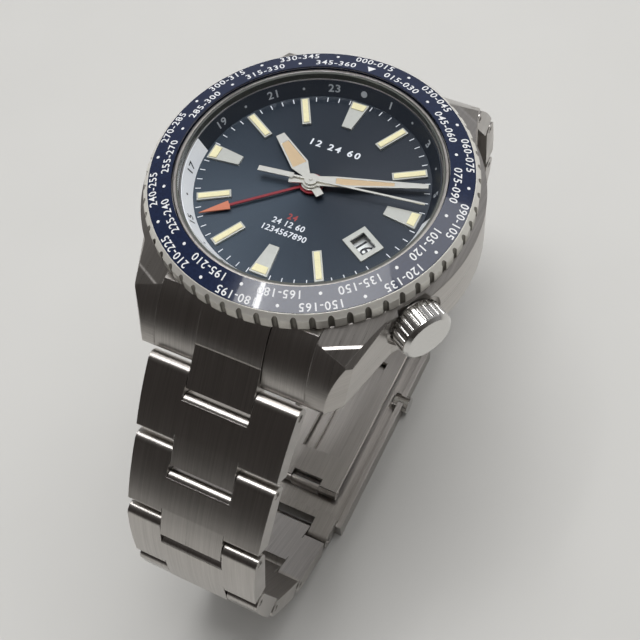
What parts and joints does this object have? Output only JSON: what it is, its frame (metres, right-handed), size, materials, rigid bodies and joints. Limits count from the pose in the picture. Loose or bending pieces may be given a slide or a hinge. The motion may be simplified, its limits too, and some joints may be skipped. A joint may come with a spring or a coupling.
{
  "type": "gmt wristwatch",
  "caption": "Round steel travel watch with a notched turning bezel, a date window, a 24-hour hand and a folding link bracelet, closed as if round a wrist.",
  "frame": {"origin": "centre of the case back's outer face, on the dial's axis", "axes": "+Z is the dial's outward normal, +Y points to 12 o'clock, +X to 3 o'clock; the closed bracelet hangs below the case towards -Z"},
  "size_m": [0.0428, 0.0814, 0.0666],
  "materials": {
    "brushed_steel": "fine brushed stainless steel with polished edges",
    "polished_steel": "polished stainless steel",
    "crystal_glass": "clear domed crystal",
    "gasket_white": "white seal",
    "gasket_black": "black rubber seal",
    "ring_two_tone": "sloped ring, dark blue half and pale grey half",
    "dial_blue": "deep blue sunburst lacquer",
    "marker_lume": "pale yellow luminous paint",
    "holder_plastic": "plain plastic",
    "plated_brass": "nickel plated brass",
    "gilt_brass": "gilt brass",
    "plated_steel": "plated steel",
    "insert_blue": "glossy navy insert with white print",
    "hand_orange": "orange-red lacquer",
    "hand_steel": "polished steel",
    "hand_lume": "tan luminous paint",
    "hand_white": "white lacquer",
    "date_white": "white disc with black print"
  },
  "bodies": {
    "case": {"case_middle": "brushed_steel", "case_back": "brushed_steel", "case_back_gasket": "gasket_black", "crown_tube": "polished_steel", "crystal": "crystal_glass", "crystal_gasket": "gasket_white", "hour_ring": "ring_two_tone", "dial": "dial_blue", "hour_markers": "polished_steel", "marker_lume": "marker_lume", "date_frame": "polished_steel", "movement_holder": "holder_plastic", "main_plate": "plated_brass", "calendar_plate": "plated_steel", "train_bridge": "plated_brass", "balance_cock": "plated_brass", "rotor_bearing": "plated_brass", "bezel_click_spring": "polished_steel", "spring_bars": "polished_steel", "end_link_lower": "brushed_steel", "end_link_upper": "brushed_steel"},
    "bezel": {"bezel_ring": "polished_steel", "bezel_insert": "insert_blue"},
    "gmt_hand": {"gmt_hand": "hand_orange"},
    "hour_hand": {"hour_hand": "hand_steel", "hour_hand_lume": "hand_lume"},
    "minute_hand": {"minute_hand": "hand_steel", "minute_hand_lume": "hand_lume"},
    "seconds_arbor": {"seconds_hand": "hand_white", "fourth_wheel": "gilt_brass"},
    "third_wheel": {"third_wheel": "gilt_brass"},
    "escape_wheel": {"escape_wheel": "polished_steel"},
    "pallet_fork": {"pallet_fork": "polished_steel"},
    "balance": {"balance_wheel": "gilt_brass"},
    "barrel": {"mainspring_barrel": "gilt_brass"},
    "date_disc": {"date_disc": "date_white"},
    "rotor": {"rotor": "plated_steel"},
    "clutch": {"clutch_wheel": "polished_steel"},
    "crown": {"crown": "polished_steel", "winding_stem": "polished_steel", "crown_gasket": "gasket_black"},
    "lower_link_1": {"lower_link_1": "brushed_steel"},
    "upper_link_1": {"upper_link_1": "brushed_steel"},
    "lower_link_2": {"lower_link_2": "brushed_steel"},
    "upper_link_2": {"upper_link_2": "brushed_steel"},
    "lower_link_3": {"lower_link_3": "brushed_steel"},
    "upper_link_3": {"upper_link_3": "brushed_steel"},
    "lower_link_4": {"lower_link_4": "brushed_steel"},
    "upper_link_4": {"upper_link_4": "brushed_steel"},
    "lower_link_5": {"lower_link_5": "brushed_steel"},
    "upper_link_5": {"upper_link_5": "brushed_steel"},
    "lower_link_6": {"lower_link_6": "brushed_steel"},
    "upper_link_6": {"upper_link_6": "brushed_steel"},
    "clasp_cover": {"clasp_cover": "brushed_steel"},
    "long_blade": {"clasp_long_blade": "brushed_steel"},
    "short_blade": {"clasp_short_blade": "brushed_steel"},
    "button_left": {"clasp_button_left": "brushed_steel"},
    "button_right": {"clasp_button_right": "brushed_steel"}
  },
  "joints": [
    {"name": "bezel_turn", "type": "hinge", "parent": "case", "child": "bezel", "pos_m": [0, 0, 0.01], "axis": [0, 0, 1], "continuous": true},
    {"name": "seconds_turn", "type": "hinge", "parent": "case", "child": "seconds_arbor", "pos_m": [0, 0, 0.0095], "axis": [0, 0, -1], "continuous": true},
    {"name": "minute_turn", "type": "hinge", "parent": "case", "child": "minute_hand", "pos_m": [0, 0, 0.0095], "axis": [0, 0, -1], "continuous": true},
    {"name": "hour_turn", "type": "hinge", "parent": "case", "child": "hour_hand", "pos_m": [0, 0, 0.0095], "axis": [0, 0, -1], "continuous": true},
    {"name": "gmt_turn", "type": "hinge", "parent": "case", "child": "gmt_hand", "pos_m": [0, 0, 0.0095], "axis": [0, 0, -1], "continuous": true},
    {"name": "third_wheel_turn", "type": "hinge", "parent": "case", "child": "third_wheel", "pos_m": [0.0012, -0.005, 0.005], "axis": [0, 0, -1], "continuous": true},
    {"name": "escape_wheel_turn", "type": "hinge", "parent": "case", "child": "escape_wheel", "pos_m": [-0.0003, 0.0048, 0.005], "axis": [0, 0, -1], "continuous": true},
    {"name": "barrel_turn", "type": "hinge", "parent": "case", "child": "barrel", "pos_m": [-0.0062, 0.0022, 0.0048], "axis": [0, 0, -1], "continuous": true},
    {"name": "balance_swing", "type": "hinge", "parent": "case", "child": "balance", "pos_m": [0.00471, 0.00596, 0.0045], "axis": [0, 0, -1], "range_deg": [-270, 270]},
    {"name": "pallet_fork_swing", "type": "hinge", "parent": "case", "child": "pallet_fork", "pos_m": [0.002, 0.0054, 0.005], "axis": [0, 0, -1], "range_deg": [-8, 8]},
    {"name": "date_turn", "type": "hinge", "parent": "case", "child": "date_disc", "pos_m": [0, 0, 0.008], "axis": [0, 0, 1], "continuous": true},
    {"name": "rotor_turn", "type": "hinge", "parent": "case", "child": "rotor", "pos_m": [0, 0, 0.002], "axis": [0, 0, 1], "continuous": true},
    {"name": "crown_turn", "type": "hinge", "parent": "case", "child": "clutch", "pos_m": [0.00779, -0.0045, 0.0054], "axis": [0.866, -0.5, 0], "continuous": true},
    {"name": "crown_pull", "type": "slide", "parent": "clutch", "child": "crown", "axis": [0.866, -0.5, 0], "range_m": [0, 0.0016]},
    {"name": "lower_link_1_turn", "type": "hinge", "parent": "case", "child": "lower_link_1", "pos_m": [0, -0.0246, 0.0001], "axis": [-1, 0, 0], "range_deg": [0, 12]},
    {"name": "lower_link_2_turn", "type": "hinge", "parent": "lower_link_1", "child": "lower_link_2", "pos_m": [0, -0.03158, -0.00788], "axis": [-1, 0, 0], "range_deg": [0, 12]},
    {"name": "lower_link_3_turn", "type": "hinge", "parent": "lower_link_2", "child": "lower_link_3", "pos_m": [0, -0.03756, -0.01663], "axis": [-1, 0, 0], "range_deg": [0, 29]},
    {"name": "lower_link_4_turn", "type": "hinge", "parent": "lower_link_3", "child": "lower_link_4", "pos_m": [0, -0.0394, -0.02707], "axis": [-1, 0, 0], "range_deg": [0, 29]},
    {"name": "lower_link_5_turn", "type": "hinge", "parent": "lower_link_4", "child": "lower_link_5", "pos_m": [0, -0.03683, -0.03736], "axis": [-1, 0, 0], "range_deg": [0, 29]},
    {"name": "lower_link_6_turn", "type": "hinge", "parent": "lower_link_5", "child": "lower_link_6", "pos_m": [0, -0.03031, -0.04571], "axis": [-1, 0, 0], "range_deg": [0, 29]},
    {"name": "upper_link_1_turn", "type": "hinge", "parent": "case", "child": "upper_link_1", "pos_m": [0, 0.0246, 0.0001], "axis": [-1, 0, 0], "range_deg": [-12, 0]},
    {"name": "upper_link_2_turn", "type": "hinge", "parent": "upper_link_1", "child": "upper_link_2", "pos_m": [0, 0.03158, -0.00788], "axis": [-1, 0, 0], "range_deg": [-12, 0]},
    {"name": "upper_link_3_turn", "type": "hinge", "parent": "upper_link_2", "child": "upper_link_3", "pos_m": [0, 0.03756, -0.01663], "axis": [-1, 0, 0], "range_deg": [-29, 0]},
    {"name": "upper_link_4_turn", "type": "hinge", "parent": "upper_link_3", "child": "upper_link_4", "pos_m": [0, 0.0394, -0.02707], "axis": [-1, 0, 0], "range_deg": [-29, 0]},
    {"name": "upper_link_5_turn", "type": "hinge", "parent": "upper_link_4", "child": "upper_link_5", "pos_m": [0, 0.03683, -0.03736], "axis": [-1, 0, 0], "range_deg": [-29, 0]},
    {"name": "upper_link_6_turn", "type": "hinge", "parent": "upper_link_5", "child": "upper_link_6", "pos_m": [0, 0.03031, -0.04571], "axis": [-1, 0, 0], "range_deg": [-29, 0]},
    {"name": "clasp_cover_turn", "type": "hinge", "parent": "lower_link_6", "child": "clasp_cover", "pos_m": [0, -0.02095, -0.05069], "axis": [-1, 0, 0], "range_deg": [0, 33]},
    {"name": "long_blade_fold", "type": "hinge", "parent": "clasp_cover", "child": "long_blade", "pos_m": [0, 0.01655, -0.05169], "axis": [-1, 0, 0], "range_deg": [0, 95]},
    {"name": "short_blade_fold", "type": "hinge", "parent": "long_blade", "child": "short_blade", "pos_m": [0, -0.0135, -0.05119], "axis": [1, 0, 0], "range_deg": [0, 95]},
    {"name": "button_left_press", "type": "slide", "parent": "clasp_cover", "child": "button_left", "axis": [1, 0, 0], "range_m": [0, 0.0006], "stiffness_N_per_m": 2000, "springref_m": -0.0005},
    {"name": "button_right_press", "type": "slide", "parent": "clasp_cover", "child": "button_right", "axis": [-1, 0, 0], "range_m": [0, 0.0006], "stiffness_N_per_m": 2000, "springref_m": -0.0005}
  ],
  "couplings": [
    {"joint": "minute_turn", "follows": "seconds_turn", "ratio": 0.016667},
    {"joint": "hour_turn", "follows": "seconds_turn", "ratio": 0.0013889},
    {"joint": "gmt_turn", "follows": "seconds_turn", "ratio": 0.00069444},
    {"joint": "third_wheel_turn", "follows": "seconds_turn", "ratio": -0.13333},
    {"joint": "escape_wheel_turn", "follows": "seconds_turn", "ratio": -12},
    {"joint": "barrel_turn", "follows": "seconds_turn", "ratio": -0.0022222},
    {"joint": "pallet_fork_swing", "follows": "balance_swing", "ratio": 0.0296}
  ]
}
